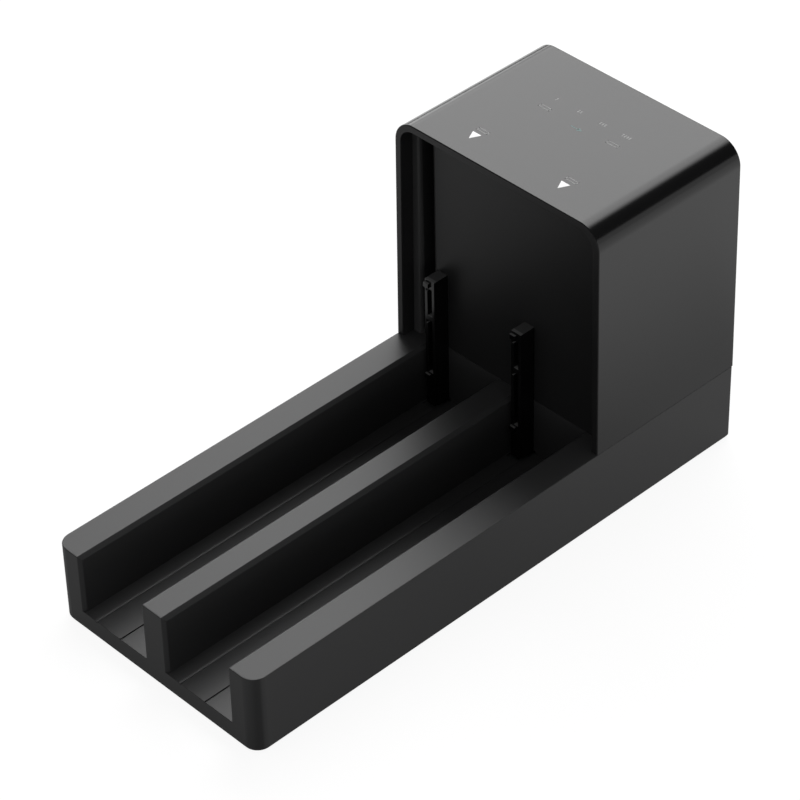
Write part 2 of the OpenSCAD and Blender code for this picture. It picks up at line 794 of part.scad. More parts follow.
module usb_insert() {
    y0 = y_recess + 0.6 - usb_d + usb_t;
    color("#2b4f9a") union() {
        along_y(y0, y0 + 5) translate([usb_x, z_parts]) polygon(usb_points(-usb_t - 0.02));
        block([usb_x - 2.8, y0, z_parts + usb_h * 0.27],
            [usb_x + 2.8, y_recess - 0.6, z_parts + usb_h * 0.5]);
        block([usb_x - 2.3, y0, z_parts + usb_h * 0.78],
            [usb_x + 2.3, y_recess - 0.6, z_parts + usb_h * 0.88]);
    }
}

module power_inlet() {
    y_nose = y_recess + 0.5;
    color("#0e0e0f") difference() {
        union() {
            block([inlet_x - inlet_w / 2, y_wall - 0.2 - inlet_d, z_parts],
                [inlet_x + inlet_w / 2, y_wall - 0.2, z_parts + usb_h]);
            bar_y(inlet_x, z_port, y_wall - 1, y_nose, nose_r);
        }
        bar_y(inlet_x, z_port, y_nose - bore_d, y_nose + cut, inlet_r);
    }
}

module inlet_pin() {
    y_nose = y_recess + 0.5;
    color("silver") bar_y(inlet_x, z_port, y_nose - bore_d, y_nose - 0.8, inlet_pin_r);
}

module switch_housing() {
    w = switch_w / 2;
    h = switch_h / 2;
    color("#101011") translate([switch_x, 0, z_port]) difference() {
        union() {
            block([-w, y_recess - switch_d, -h], [w, y_recess, h]);
            block([-w - bezel_rim, y_recess, -h - bezel_rim], [w + bezel_rim, y_bezel, h + bezel_rim]);
        }
        block([-rocker_w / 2 - 0.6, y_pivot - 3.8, -rocker_h / 2 - rocker_side],
            [rocker_w / 2 + 0.6, y_bezel + cut, rocker_h / 2 + rocker_side]);
        translate([0, y_pivot, -h - cut]) cylinder(r = trunnion_r + pilot_gap, h = 2 * (h + cut));
    }
}

module power_rocker() {
    w = rocker_w / 2;
    color("#1a1a1b") translate([switch_x, y_pivot, z_port]) rotate([0, 0, -rocker_tilt]) {
        translate([0, 0, -rocker_h / 2]) linear_extrude(rocker_h)
            polygon([[-w, 1.65 + w * tan(rocker_tilt)], [-w, 0.2], [-w * 0.6, -2.6], [w * 0.6, -2.6],
                [w, 0.2], [w, 1.65 + w * tan(rocker_tilt)], [0, 1.65]]);
        translate([0, 0, -rocker_h / 2 - 0.8]) cylinder(r = trunnion_r, h = rocker_h + 1.6);
    }
}

module switch_terminals() {
    color("silver") for (s = [-1, 1])
        block([switch_x + s * 3.5 - 0.4, y_recess - switch_d - 6, z_port - 2.4],
            [switch_x + s * 3.5 + 0.4, y_recess - switch_d, z_port + 2.4]);
}

module switch_leads() {
    color("firebrick") for (s = [-1, 1])
        translate([switch_x + s * 3.5, y_recess - switch_d - 4, z_parts]) cylinder(r = 0.7,
            h = z_port - 2.4 - z_parts);
}

module clone_button() {
    color("#2a2a2c") union() {
        bar_y(button_x, z_port, y_wall - 0.1 - flange_t, y_recess + button_out, button_r);
        bar_y(button_x, z_port, y_wall - 0.1 - flange_t, y_wall - 0.1, flange_r);
        bar_y(button_x, z_port, y_stem, y_wall - 0.1 - flange_t, 1.5);
    }
}

module clone_plunger() {
    color("#0c0c0c") bar_y(button_x, z_port, y_tact - 0.9, y_stem, plunger_r);
}

module clone_switch() {
    color("#777a7d") difference() {
        block([button_x - tact_w / 2, y_tact - tact_d, z_parts],
            [button_x + tact_w / 2, y_tact, z_port + tact_w / 2]);
        bar_y(button_x, z_port, y_tact - 1.2 - button_travel, y_tact + cut, plunger_r + pilot_gap);
    }
}

module led_board() {
    color("#15402a") difference() {
        block([-led_board_w / 2, led_board_y - led_board_d / 2, z_led - board_t],
            [led_board_w / 2, led_board_y + led_board_d / 2, z_led]);
        for (s = [-1, 1]) translate([s * led_boss_x, led_board_y, z_led - board_t - cut])
            cylinder(r = screw_r + screw_gap, h = board_t + 2 * cut);
    }
}

module status_leds() {
    color("white") for (p = led_at) translate([p[0] - 1.4, p[1] - 1.4, z_led]) cube([2.8, 2.8, led_t]);
}

module light_guide() {
    color("#dfe6ea") difference() {
        union() {
            block([-led_board_w / 2, led_board_y - led_board_d / 2 + 1, z_guide - guide_t],
                [led_board_w / 2, led_board_y + led_board_d / 2 - 1, z_guide]);
            for (p = led_at) translate([p[0], p[1], z_led + led_t + guide_gap])
                cylinder(r = guide_r, h = z_top - skin_t - guide_gap - z_led - led_t - guide_gap);
        }
        for (s = [-1, 1]) translate([s * led_boss_x, led_board_y, z_guide - guide_t - cut])
            cylinder(r = 2.2 + fit, h = guide_t + 2 * cut);
    }
}

module led_screws() {
    for (s = [-1, 1]) translate([s * led_boss_x, led_board_y, z_led - board_t])
        screw(board_t + small_len - 1);
}

module led_ribbon() {
    z0 = z_parts + plug_h;
    z1 = z_led - board_t - plug_h;
    n = 24;
    mid = [for (i = [0:n]) [ribbon_y[0] + (ribbon_y[1] - ribbon_y[0]) * (1 - cos(180 * i / n)) / 2
        + ribbon_bow * (1 - cos(360 * i / n)) / 2, z0 + (z1 - z0) * i / n]];
    side = concat([for (p = mid) [p[0] - ribbon_t / 2, p[1]]],
        [for (i = [n:-1:0]) [mid[i][0] + ribbon_t / 2, mid[i][1]]]);
    color("#cfd2d4") translate([ribbon_x - ribbon_w / 2, 0, 0]) rotate([90, 0, 90])
        linear_extrude(ribbon_w) polygon(side);
}

module ribbon_connectors() {
    z = [z_parts, z_led - board_t - plug_h];
    color("#e8e4d8") for (i = [0, 1])
        block([ribbon_x - ribbon_w / 2 - 1.5, ribbon_y[i] - 1.5, z[i]],
            [ribbon_x + ribbon_w / 2 + 1.5, ribbon_y[i] + 1.5, z[i] + plug_h]);
}

base_tray();
bottom_plate();
rubber_feet();
plate_screws();
tower_cover();
cover_screws();
front_panel();
rear_panel();
rear_screws();
source_socket();
target_socket();
source_contacts();
target_contacts();
backplane_board();
backplane_screws();
main_board();
board_screws();
link_header();
link_pins();
bridge_chip();
flash_chip();
crystal();
power_inductors();
capacitors();
regulators();
usb_shell();
usb_insert();
power_inlet();
inlet_pin();
switch_housing();
power_rocker();
switch_terminals();
switch_leads();
clone_button();
clone_switch();
clone_plunger();
led_board();
status_leds();
light_guide();
led_screws();
led_ribbon();
ribbon_connectors();
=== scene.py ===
"""Looks of a desk dock for two hard drives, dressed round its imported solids. Metres, +Y back, +Z up."""
import json
import math

import bmesh
import bpy
from mathutils import Matrix, Vector


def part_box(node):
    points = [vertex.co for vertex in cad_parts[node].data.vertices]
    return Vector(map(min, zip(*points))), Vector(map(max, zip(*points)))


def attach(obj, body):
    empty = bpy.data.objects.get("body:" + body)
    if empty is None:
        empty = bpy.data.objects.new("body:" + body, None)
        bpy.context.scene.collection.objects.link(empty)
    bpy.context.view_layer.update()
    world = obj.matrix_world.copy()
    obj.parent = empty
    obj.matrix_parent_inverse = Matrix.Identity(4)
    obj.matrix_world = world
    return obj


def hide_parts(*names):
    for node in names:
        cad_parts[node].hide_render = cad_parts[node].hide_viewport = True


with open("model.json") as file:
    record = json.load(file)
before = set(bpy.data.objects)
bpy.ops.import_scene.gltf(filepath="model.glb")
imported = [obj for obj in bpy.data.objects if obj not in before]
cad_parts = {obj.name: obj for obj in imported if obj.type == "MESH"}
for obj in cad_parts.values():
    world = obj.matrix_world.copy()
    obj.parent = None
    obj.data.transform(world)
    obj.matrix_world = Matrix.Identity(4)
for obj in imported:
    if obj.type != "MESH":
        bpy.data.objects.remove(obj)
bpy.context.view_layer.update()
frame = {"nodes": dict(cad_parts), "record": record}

MM = 0.001
NODES = frame["nodes"]
SLOT_OF = {row["node"]: row["material_slot"] for row in frame["record"]["subparts"]}


def box_mm(node):
    """The lowest and highest corners of a solid, in millimetres."""
    low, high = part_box(node)
    return low / MM, high / MM


# Places on the dock, read from the solids, in millimetres
TRAY_LOW = box_mm("base_tray")[0]
COVER_LOW, COVER_HIGH = box_mm("tower_cover")
PANEL_LOW, PANEL_HIGH = box_mm("front_panel")
PLATE_LOW = box_mm("bottom_plate")[0]
SOCKET_LOW, SOCKET_HIGH = box_mm("source_socket")
SOCKET_SIDE = abs(SOCKET_LOW.x) + 0.3
SHELL_LOW, SHELL_HIGH = box_mm("usb_shell")
TONGUE_LOW, TONGUE_HIGH = box_mm("usb_insert")
INLET_HIGH = box_mm("power_inlet")[1]
FRAME_HIGH = box_mm("switch_housing")[1]
ROCKER_LOW, ROCKER_HIGH = box_mm("power_rocker")
BUTTON_HIGH = box_mm("clone_button")[1]
REAR_HIGH = box_mm("rear_panel")[1]
HALF_WIDTH = COVER_HIGH.x
Z_SPLIT = COVER_LOW.z
Z_TOP = COVER_HIGH.z
Y_HOOD = COVER_LOW.y
Y_BACK = COVER_HIGH.y
Y_FRONT = TRAY_LOW.y

# Sizes of the part that no box gives, in millimetres
FRONT_RADIUS = 5.0
ARCH_RADIUS = 8.0
ARCH_LEAN = 1.0
COVER_WALL = 2.5
Z_LAND = 7.3
CHANNEL_LEFTS = (-32.7, 5.3)
GROOVES = (5.6, 16.5)
GROOVE_WIDTH = 0.6

# The slope of a channel's floor beside its left groove, in millimetres
SLOPE_WIDTH = 0.9
SLOPE_DEPTH = 0.28

# Points nearer than this are one, and faces that turn less than this are one
WELD = 0.002 * MM
FLAT = math.radians(0.4)

# Edges that turn more than these are rounded, and are shaded sharp
ROUND_FROM = math.radians(22)
SHARP_FROM = math.radians(32)


# Objects and edit mode

def only(obj):
    """Selects one object alone and makes it the active one."""
    if bpy.context.object and bpy.context.object.mode != "OBJECT":
        bpy.ops.object.mode_set(mode="OBJECT")
    bpy.ops.object.select_all(action="DESELECT")
    obj.select_set(True)
    bpy.context.view_layer.objects.active = obj
    return obj


def edit(obj, select="EDGE"):
    """Opens one object for editing with nothing selected and gives its mesh."""
    only(obj)
    bpy.ops.object.mode_set(mode="EDIT")
    bpy.ops.mesh.select_mode(type=select)
    bpy.ops.mesh.select_all(action="DESELECT")
    return bmesh.from_edit_mesh(obj.data)


def settle(obj):
    """Leaves edit mode and puts the object's place, turn and size into its mesh."""
    bpy.ops.object.mode_set(mode="OBJECT")
    only(obj)
    bpy.ops.object.transform_apply(location=True, rotation=True, scale=True)
    return obj


def solid_copy(node, name):
    """A copy of a solid whose loose triangles are merged into whole faces."""
    piece = bpy.data.objects.new(name, NODES[node].data.copy())
    bpy.context.collection.objects.link(piece)
    edit(piece)
    bpy.ops.mesh.select_all(action="SELECT")
    bpy.ops.mesh.remove_doubles(threshold=WELD)
    bpy.ops.mesh.dissolve_limited(angle_limit=FLAT)
    bpy.ops.object.mode_set(mode="OBJECT")
    bpy.ops.mesh.customdata_custom_splitnormals_clear()
    return piece


def round_edges(piece, choices, segments=2):
    """Rounds the sharp outward edges. A choice is a width in mm and a test of the edge's middle in mm."""
    mesh = edit(piece)
    weight = mesh.edges.layers.float.get("bevel_weight_edge")
    if weight is None:
        weight = mesh.edges.layers.float.new("bevel_weight_edge")
    widest = max(width for width, test in choices)
    for e in mesh.edges:
        if not e.is_manifold or not e.is_convex or e.calc_face_angle(0) < ROUND_FROM:
            continue
        middle = (e.verts[0].co + e.verts[1].co) / 2 / MM
        for width, test in choices:
            if test(middle):
                e[weight] = width / widest
                break
    bmesh.update_edit_mesh(piece.data)
    bpy.ops.object.mode_set(mode="OBJECT")
    rounding = piece.modifiers.new("rounding", "BEVEL")
    rounding.limit_method = "WEIGHT"
    rounding.width = widest * MM
    rounding.segments = segments
    rounding.use_clamp_overlap = False
    only(piece)
    bpy.ops.object.modifier_apply(modifier=rounding.name)
    return smooth(piece)


def smooth(piece):
    """Shades curves smooth, and keeps flat faces flat beside their rounded edges."""
    only(piece)
    bpy.ops.object.shade_smooth()
    mesh = edit(piece)
    for e in mesh.edges:
        e.smooth = not e.is_manifold or e.calc_face_angle(0) < SHARP_FROM
    bmesh.update_edit_mesh(piece.data)
    bpy.ops.object.mode_set(mode="OBJECT")
    weighted = piece.modifiers.new("weighted", "WEIGHTED_NORMAL")
    weighted.keep_sharp = True
    bpy.ops.object.modifier_apply(modifier=weighted.name)
    return piece


def paint(piece, finish):
    piece.data.materials.clear()
    piece.data.materials.append(FINISHES[finish])
    return piece


def on_dock(piece, finish, body="dock"):
    """Gives the piece its material and the body that it moves with."""
    paint(piece, finish)
    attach(piece, body)
    return piece


def dress(node, name, choices, segments=2, body="dock", before=None):
    """A copy of a solid with rounded edges, which stands for it. Before changes it first."""
    piece = solid_copy(node, name)
    if before:
        before(piece)
    round_edges(piece, choices, segments)
    on_dock(piece, SLOT_OF[node], body)
    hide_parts(node)
    return piece


# Shader maths

class Value:
    """A shader socket whose + - * / add Math nodes."""

    def __init__(self, graph, socket):
        self.graph = graph
        self.socket = socket

    def math(self, operation, *others):
        made = self.graph.node("ShaderNodeMath", {"operation": operation})
        for place, value in enumerate((self, *others)):
            self.graph.feed(made.inputs[place], value)
        return Value(self.graph, made.outputs[0])

    def __add__(self, other):
        return self.math("ADD", other)

    __radd__ = __add__

    def __mul__(self, other):
        return self.math("MULTIPLY", other)

    __rmul__ = __mul__

    def __sub__(self, other):
        return self.math("SUBTRACT", other)

    def __rsub__(self, other):
        return self * -1 + other

    def __truediv__(self, other):
        return self.math("DIVIDE", other)

    def high(self, other):
        return self.math("MAXIMUM", other)

    def wave(self):
        return self.math("SINE")

    def ramp(self, start, end):
        """Goes smoothly from 0 at start to 1 at end."""
        made = self.graph.node("ShaderNodeMapRange", {"interpolation_type": "SMOOTHSTEP"}, {
            "Value": self, "From Min": start, "From Max": end})
        return Value(self.graph, made.outputs[0])


class Graph:
    """The nodes of one material, lamp or world."""

    def __init__(self, tree):
        self.tree = tree
        tree.nodes.clear()

    def node(self, kind, settings=None, sockets=None):
        made = self.tree.nodes.new(kind)
        for name, value in (settings or {}).items():
            setattr(made, name, value)
        for name, value in (sockets or {}).items():
            self.feed(made.inputs[name], value)
        return made

    def feed(self, socket, value):
        if isinstance(value, Value):
            value = value.socket
        if isinstance(value, bpy.types.NodeSocket):
            self.tree.links.new(value, socket)
        elif isinstance(value, tuple) and len(value) == 3 and socket.type == "RGBA":
            socket.default_value = (*value, 1)
        else:
            socket.default_value = value

    def place(self):
        """Object coordinates, in metres."""
        return self.node("ShaderNodeTexCoord").outputs["Object"]

    def parts(self, vector):
        """The X, Y and Z of a vector."""
        apart = self.node("ShaderNodeSeparateXYZ", sockets={"Vector": vector})
        return [Value(self, apart.outputs[name]) for name in "XYZ"]

    def noise(self, size, detail=2.0, roughness=0.5, stretch=(1, 1, 1)):
        """Noise with features of about the given size in metres, finer along a stretched axis."""
        scaled = self.node("ShaderNodeMapping", sockets={"Vector": self.place(), "Scale": stretch})
        made = self.node("ShaderNodeTexNoise", sockets={
            "Vector": scaled.outputs[0], "Scale": 1 / size, "Detail": detail, "Roughness": roughness})
        return Value(self, made.outputs["Fac"])

    def cells(self, size, feature="F1"):
        made = self.node("ShaderNodeTexVoronoi", {"feature": feature},
                         {"Vector": self.place(), "Scale": 1 / size})
        return Value(self, made.outputs["Distance"])

    def blend(self, amount, first, second):
        made = self.node("ShaderNodeMix", {"data_type": "RGBA"})
        for place, value in ((0, amount), (6, first), (7, second)):
            self.feed(made.inputs[place], value)
        return made.outputs[2]

    def bump(self, height, depth):
        return self.node("ShaderNodeBump", sockets={"Height": height, "Distance": depth}).outputs[0]

    def skin(self, colour, roughness, normal=None, **others):
        """A surface whose colour, roughness, metal, coat weight and normal may vary."""
        shader = self.node("ShaderNodeBsdfPrincipled", sockets={
            "Base Color": colour, "Roughness": roughness})
        if normal is not None:
            self.feed(shader.inputs["Normal"], normal)
        for socket, value in others.items():
            self.feed(shader.inputs[socket.replace("_", " ")], value)
        return shader.outputs[0]

    def either(self, amount, first, second):
        """One skin where the amount is 0 and another where it is 1."""
        mixed = self.node("ShaderNodeMixShader")
        for place, value in ((0, amount), (1, first), (2, second)):
            self.feed(mixed.inputs[place], value)
        return mixed.outputs[0]

    def end(self, surface):
        last = self.node("ShaderNodeOutputMaterial")
        self.tree.links.new(surface, last.inputs["Surface"])

    def finish(self, colour, roughness, normal=None, **others):
        """Ends a material that has one skin all over."""
        self.end(self.skin(colour, roughness, normal, **others))


FINISHES = {}


def material(name):
    made = bpy.data.materials.new(name)
    made.use_nodes = True
    FINISHES[name] = made
    return Graph(made.node_tree)


def shade(colour, factor):
    return tuple(c * factor for c in colour)


# Finishes

# The grain of the moulded outer pieces: the size of its features and its depth
GRAIN = 0.35 * MM
GRAIN_DEPTH = 0.004 * MM


def grained(g, colour, roughness, grain, depth, level, **shine):
    """The skin of moulded plastic: spark-eroded grain, faint flow marks and slightly uneven gloss."""
    fine = g.noise(grain, 3, 0.6)
    flow = g.noise(22 * MM, 2, 0.5, (1, 0.35, 1))
    rough = fine * 0.08 + flow * 0.06 + (roughness - 0.07)
    tone = g.blend(flow, shade(colour, 0.9), shade(colour, 1.15))
    return g.skin(tone, rough, g.bump(fine, depth), Specular_IOR_Level=level, **shine)


def moulded(name, *grain):
    g = material(name)
    g.end(grained(g, *grain))


def make_tray_finish():
    """Satin plastic, smoother on the faces that look up and on the outer sides, less so in front."""
    g = material("tray_plastic")
    x, y, z = g.parts(g.place())
    nx, ny, nz = g.parts(g.node("ShaderNodeNewGeometry").outputs["Normal"])
    wide = x.math("ABSOLUTE") / MM
    sides = nx.math("ABSOLUTE").ramp(0.9, 0.98) * wide.ramp(HALF_WIDTH - 1, HALF_WIDTH - 0.5)
    front = (y / MM).ramp(Y_FRONT + FRONT_RADIUS, Y_FRONT + 1) * ny.ramp(-0.6, -0.9)
    smoother = nz.ramp(0.85, 0.97).high(sides * 0.77).high(front * 0.38)
    g.end(grained(g, (0.023, 0.023, 0.0235), 0.44, GRAIN, GRAIN_DEPTH, 0.115,
                  Coat_Weight=smoother * 0.52, Coat_Roughness=0.45))


def make_cover_finish():
    """Polished outside, satin on the hood's rim and dull inside, where a paler colour is painted fill light.
    """
    g = material("cover_plastic")
    x, y, z = g.parts(g.place())
    beside = (x.math("ABSOLUTE") / MM - (HALF_WIDTH - ARCH_LEAN - ARCH_RADIUS)).high(0)
    above = (z / MM - (Z_TOP - ARCH_RADIUS)).high(0)
    reach = (beside * beside + above * above).math("SQRT")
    outer = reach.ramp(ARCH_RADIUS - 0.8, ARCH_RADIUS - 0.6)
    polished = outer * (y / MM).ramp(Y_HOOD + 0.15, Y_HOOD + 0.35)
    rim = (y / MM).ramp(Y_HOOD + 0.3, Y_HOOD + 0.15)
    # The dull inside is paler than the outside: painted fill light on the hood's inner walls.
    dull = grained(g, (0.014, 0.014, 0.0143), 0.42, GRAIN, GRAIN_DEPTH, 0.09)
    satin = grained(g, (0.012, 0.012, 0.0123), 0.42, GRAIN, GRAIN_DEPTH, 0.15)
    glossy = grained(g, (0.005, 0.005, 0.0052), 0.17, 0.3 * MM, 0.0012 * MM, 0.30)
    g.end(g.either(polished, g.either(rim, dull, satin), glossy))


def make_panel_finish():
    """Matt plastic; the hood panel's two upright strips are painted paler, as painted light."""
    g = material("panel_plastic")
    x, y, z = g.parts(g.place())
    beside = (x.math("ABSOLUTE") / MM).ramp(PANEL_HIGH.x - 3.75, PANEL_HIGH.x - 3.65)
    # The strips' paler skin is painted light, standing in for light that the hood's walls keep off them.
    strips = beside * (y / MM).ramp(PANEL_LOW.y + 1.8, PANEL_LOW.y + 1.6)
    matt = grained(g, (0.012, 0.012, 0.0123), 0.42, GRAIN, GRAIN_DEPTH, 0.155)
    pale = grained(g, (0.034, 0.034, 0.0345), 0.42, GRAIN, GRAIN_DEPTH, 0.155)
    g.end(g.either(strips, matt, pale))


def make_socket_finish():
    """Glossy black, with painted light: paler where it looks up, and painted glints on the nose's small
    ledges.
    """
    g = material("socket_plastic")
    x, y, z = g.parts(g.place())
    nz = g.parts(g.node("ShaderNodeNewGeometry").outputs["Normal"])[2]
    # Painted light: faces that look up are paler, as if lit from above, and the nose's ledges are paler
    # still, as painted glints.
    up = nz.ramp(0.5, 0.85)
    nose = up * (y / MM).ramp(SOCKET_LOW.y + 2.2, SOCKET_LOW.y + 1.8)
    fine = g.noise(0.2 * MM, 3, 0.6)
    body = g.blend(up, (0.003, 0.003, 0.0031), (0.038, 0.038, 0.0385))
    tone = g.blend(nose, body, (0.08, 0.08, 0.08))
    g.finish(tone, fine * 0.08 + 0.18, g.bump(fine, 0.002 * MM), Specular_IOR_Level=0.4)


def plated(name, colour, roughness, brush, stretch, tarnish):
    """Plated metal, drawn or brushed along one way, with a little tarnish."""
    g = material(name)
    lines = g.noise(brush, 3, 0.6, stretch)
    spots = g.noise(1.6 * MM, 4, 0.6).ramp(0.45, 0.75)
    tone = g.blend(spots * 0.5 + lines * 0.2, colour, shade(colour, tarnish))
    g.finish(tone, lines * 0.12 + spots * 0.12 + roughness, g.bump(lines, 0.004 * MM), Metallic=1.0)


def make_finishes():
    make_tray_finish()
    make_cover_finish()
    make_panel_finish()
    make_socket_finish()
    moulded("plate_plastic", (0.018, 0.018, 0.0185), 0.55, 0.4 * MM, 0.010 * MM, 0.2)
    moulded("button_plastic", (0.022, 0.022, 0.0225), 0.38, 0.25 * MM, 0.003 * MM, 0.35)
    moulded("chip_black", (0.020, 0.020, 0.021), 0.62, 0.12 * MM, 0.006 * MM, 0.3)
    moulded("insert_blue", (0.016, 0.062, 0.36), 0.36, 0.2 * MM, 0.003 * MM, 0.45)
    moulded("led_white", (0.78, 0.78, 0.72), 0.35, 0.2 * MM, 0.002 * MM, 0.5)
    moulded("lead_red", (0.30, 0.012, 0.010), 0.42, 0.3 * MM, 0.004 * MM, 0.4)
    plated("screw_steel", (0.52, 0.53, 0.55), 0.26, 0.12 * MM, (1, 1, 1), 0.72)
    plated("shell_steel", (0.60, 0.60, 0.61), 0.22, 0.25 * MM, (1, 0.08, 1), 0.8)
    plated("can_metal", (0.66, 0.67, 0.69), 0.24, 0.3 * MM, (1, 1, 0.1), 0.8)
    plated("contact_brass", (0.83, 0.60, 0.24), 0.20, 0.1 * MM, (1, 0.1, 1), 0.7)

    g = material("foot_rubber")
    pores = g.cells(0.5 * MM)
    dust = g.noise(3 * MM, 4, 0.65).ramp(0.5, 0.85)
    g.finish(g.blend(dust, (0.020, 0.020, 0.020), (0.050, 0.048, 0.045)), dust * 0.1 + 0.72,
             g.bump(pores, 0.02 * MM), Specular_IOR_Level=0.25)

    g = material("ferrite")
    grit = g.noise(0.15 * MM, 4, 0.7)
    g.finish(g.blend(grit, (0.018, 0.018, 0.020), (0.060, 0.060, 0.064)), grit * 0.2 + 0.45,
             g.bump(grit, 0.02 * MM), Metallic=0.3)

    g = material("board_green")
    x, y, z = g.parts(g.place())
    tracks = (x * (2 * math.pi / (2.4 * MM))).wave() * (y * (2 * math.pi / (7 * MM))).wave()
    raised = tracks.ramp(0.25, 0.35)
    weave = g.noise(0.5 * MM, 2, 0.5, (1, 0.2, 1))
    g.finish(g.blend(raised, (0.006, 0.075, 0.030), (0.010, 0.125, 0.050)), weave * 0.08 + 0.24,
             g.bump(raised + weave * 0.2, 0.03 * MM), Specular_IOR_Level=0.5)

    g = material("guide_clear")
    ripple = g.noise(4 * MM, 2)
    g.finish((0.86, 0.91, 0.93), ripple * 0.06 + 0.05, g.bump(ripple, 0.02 * MM),
             Transmission_Weight=0.85, IOR=1.49)

    g = material("ribbon_white")
    x, y, z = g.parts(g.place())
    cores = (x * (2 * math.pi / (1.0 * MM))).wave().ramp(-0.2, 0.6)
    g.finish(g.blend(cores, (0.62, 0.63, 0.64), (0.78, 0.79, 0.80)), cores * 0.1 + 0.35,
             g.bump(cores, 0.06 * MM), Specular_IOR_Level=0.45)

    for name, ink in (("print_white", (0.72, 0.72, 0.72)), ("print_grey", (0.125, 0.125, 0.125)),
                      ("print_teal", (0.022, 0.075, 0.071))):
        g = material(name)
        screen = g.noise(0.12 * MM, 3, 0.6)
        g.finish(g.blend(screen, shade(ink, 0.94), ink), screen * 0.06 + 0.16, g.bump(screen, 0.0005 * MM),
                 Specular_IOR_Level=0.26)


# Shells and panels

def outside(p):
    """Whether a point in mm lies on the upright outer face of the tray."""
    corner = HALF_WIDTH - FRONT_RADIUS
    from_front = Y_FRONT + FRONT_RADIUS
    if abs(p.x) > corner and p.y < from_front:
        return math.hypot(abs(p.x) - corner, p.y - from_front) > FRONT_RADIUS - 0.3
    return abs(p.x) > HALF_WIDTH - 0.9 or p.y < Y_FRONT + 0.1 or p.y > Y_BACK - 0.9


def slope_grooves(piece):
    """Slopes the floor of each channel a little down to the left edge of its left groove."""
    edges = [left + GROOVES[0] - GROOVE_WIDTH / 2 for left in CHANNEL_LEFTS]

    def at(place, offset):
        near = min(abs(place.x / MM - x - offset) for x in edges)
        return near < 0.02 and abs(place.z / MM - Z_LAND) < 0.02

    mesh = edit(piece)
    for e in mesh.edges:
        e.select = all(at(v.co, 0) for v in e.verts)
    bmesh.update_edit_mesh(piece.data)
    bpy.ops.mesh.bevel(offset=SLOPE_DEPTH * MM, offset_type="OFFSET", segments=1, affect="EDGES")
    mesh = bmesh.from_edit_mesh(piece.data)
    for v in mesh.verts:
        if at(v.co, -SLOPE_DEPTH):
            v.co.x -= (SLOPE_WIDTH - SLOPE_DEPTH) * MM
    bmesh.update_edit_mesh(piece.data)
    bpy.ops.object.mode_set(mode="OBJECT")


def make_tray():
    """The base with its two channels, softened where the mould is."""
    rights = [left + groove + GROOVE_WIDTH / 2 for left in CHANNEL_LEFTS for groove in GROOVES]

    def right_of_groove(p):
        near = min(abs(p.x - x) for x in rights)
        return near < 0.05 and abs(p.z - Z_LAND) < 0.05 and p.y > Y_FRONT + 0.2

    return dress("base_tray", "tray_shell", (
        (0.35, lambda p: outside(p) and p.z > Z_SPLIT - 0.1),
        (0.15, lambda p: outside(p) and p.z < TRAY_LOW.z + 0.1),
        (0.30, lambda p: p.y > Y_BACK - 0.1),
        (0.06, right_of_groove),
        (0.10, lambda p: p.y < Y_FRONT + 0.1 and p.z < Z_LAND + 0.1),
        (0.22, lambda p: p.y < Y_HOOD + 6 and p.z > Z_LAND + 0.1 and p.y > Y_FRONT - 0.1),
    ), before=slope_grooves)


def make_tower():
    """The arched cover with a rounded rim round the hood and at the back."""
    inner = HALF_WIDTH - COVER_WALL
    arc_x = HALF_WIDTH - ARCH_LEAN - ARCH_RADIUS

    def outer_line(p):
        from_arc = math.hypot(max(abs(p.x) - arc_x, 0), max(p.z - (Z_TOP - ARCH_RADIUS), 0))
        return abs(p.x) > inner + 0.6 or from_arc > ARCH_RADIUS - COVER_WALL / 2

    def on_ends(p):
        return p.y < Y_HOOD + 0.05 or p.y > Y_BACK - 0.05

    return dress("tower_cover", "tower_shell", (
        (0.40, lambda p: on_ends(p) and outer_line(p)),
        (0.25, on_ends),
        (0.15, lambda p: p.z < Z_SPLIT + 0.05 and abs(p.x) > HALF_WIDTH - 0.1),
    ), segments=3)


def make_panels():
    """The hood's panel, the back panel and the bottom plate."""
    strip_edge = PANEL_HIGH.x - 3.55
    dress("front_panel", "hood_panel", (
        (1.20, lambda p: abs(p.x + strip_edge) < 0.1 and p.y < PANEL_LOW.y + 0.1),
        (0.60, lambda p: abs(p.x - strip_edge) < 0.1 and p.y < PANEL_LOW.y + 0.1),
        (0.10, lambda p: abs(p.x) < SOCKET_SIDE and p.y < PANEL_LOW.y + 1.3 and p.z < SOCKET_HIGH.z + 1),
    ), segments=3)
    dress("rear_panel", "back_panel", (
        (0.20, lambda p: p.y > REAR_HIGH.y - 0.05),
    ))
    dress("bottom_plate", "base_plate", (
        (0.25, lambda p: p.z < PLATE_LOW.z + 0.05),
    ))


def make_feet_and_screws():
    dress("rubber_feet", "foot_pads", ((0.30, lambda p: p.z < 1.0),), segments=3)
    dress("rear_screws", "back_panel_screws", ((0.22, lambda p: p.y > REAR_HIGH.y - 0.3),))
    dress("plate_screws", "base_plate_screws", (
        (0.22, lambda p: p.z < PLATE_LOW.z + 0.3),
    ))


def make_sockets():
    """The two drive sockets: softened noses, guide ends and slots."""
    for node, name in (("source_socket", "source_plug"), ("target_socket", "target_plug")):
        low, high = box_mm(node)
        dress(node, name, (
            (0.12, lambda p: p.y < low.y + 1.5),
            (0.15, lambda p: p.y < PANEL_LOW.y + 2 and (
                p.x < low.x + 0.05 or p.x > high.x - 0.05 or p.z > high.z - 0.05)),
        ))


# Back of the dock

ROCKER_PIVOT = Vector(frame["record"]["behaviour"]["joints"][0]["pos_m"]) / MM
ROCKER_TILT = math.radians(8)
ROCKER_FACE_OUT = 2.0225
ROCKER_MARK_X = 2.65
MARK_PROUD = 0.012
MARK_THICK = 0.1


